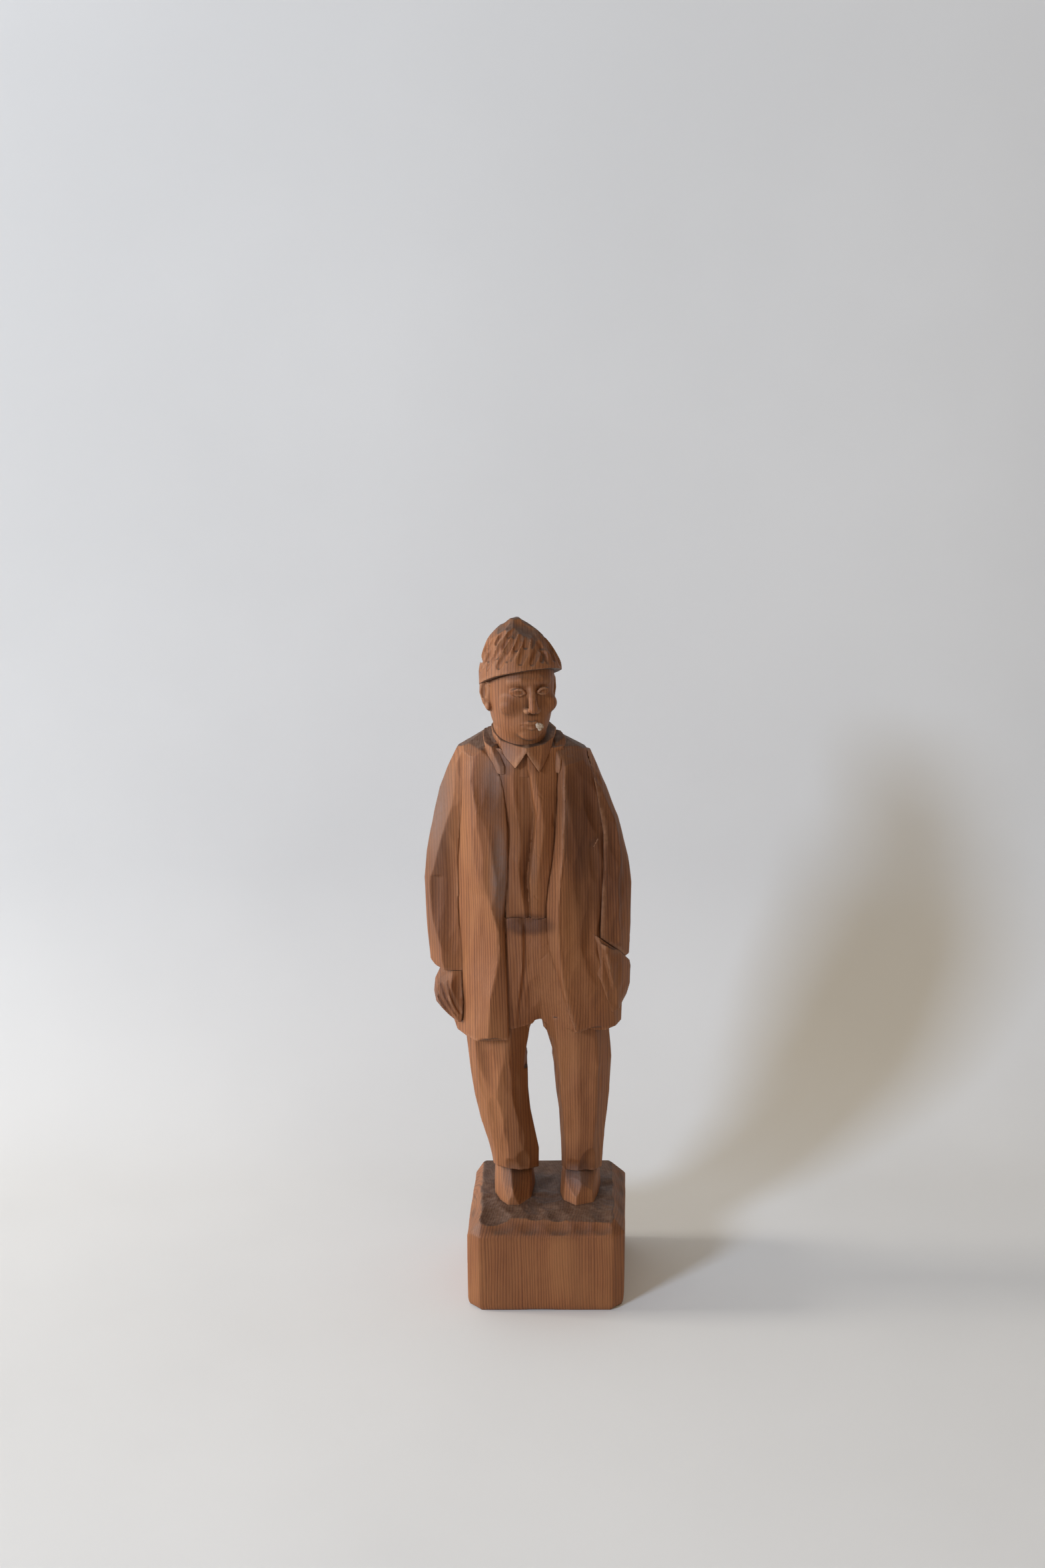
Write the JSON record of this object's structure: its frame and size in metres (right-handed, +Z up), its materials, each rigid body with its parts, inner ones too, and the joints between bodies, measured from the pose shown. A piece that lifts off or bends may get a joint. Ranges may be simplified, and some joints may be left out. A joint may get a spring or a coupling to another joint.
{
  "type": "carved figurine",
  "caption": "Knife-carved wooden figurine of a standing man in a cap, open jacket and baggy trousers, hand in pocket, on a chamfered square block.",
  "frame": {"origin": "on the base's underside, straight below the middle of the upright faces", "axes": "+Z up along the wood's grain and the figure's height, -Y out of the figure's chest towards the viewer, +X towards the figure's left hand"},
  "size_m": [0.0773, 0.0605, 0.2599],
  "materials": {
    "carved_wood": "bare knife-cut softwood with a thin oiled sheen, end grain darker and greyer",
    "dried_glue": "matte, crusty"
  },
  "bodies": {
    "root": {"base_block": "carved_wood", "right_shoe": "carved_wood", "left_shoe": "carved_wood", "trousers": "carved_wood", "jacket": "carved_wood", "jacket_collar": "carved_wood", "right_sleeve": "carved_wood", "left_sleeve": "carved_wood", "left_pocket": "carved_wood", "right_hand": "carved_wood", "shirt": "carved_wood", "shirt_collar": "carved_wood", "head": "carved_wood", "cap": "carved_wood", "glue_remnant": "dried_glue"}
  },
  "joints": []
}
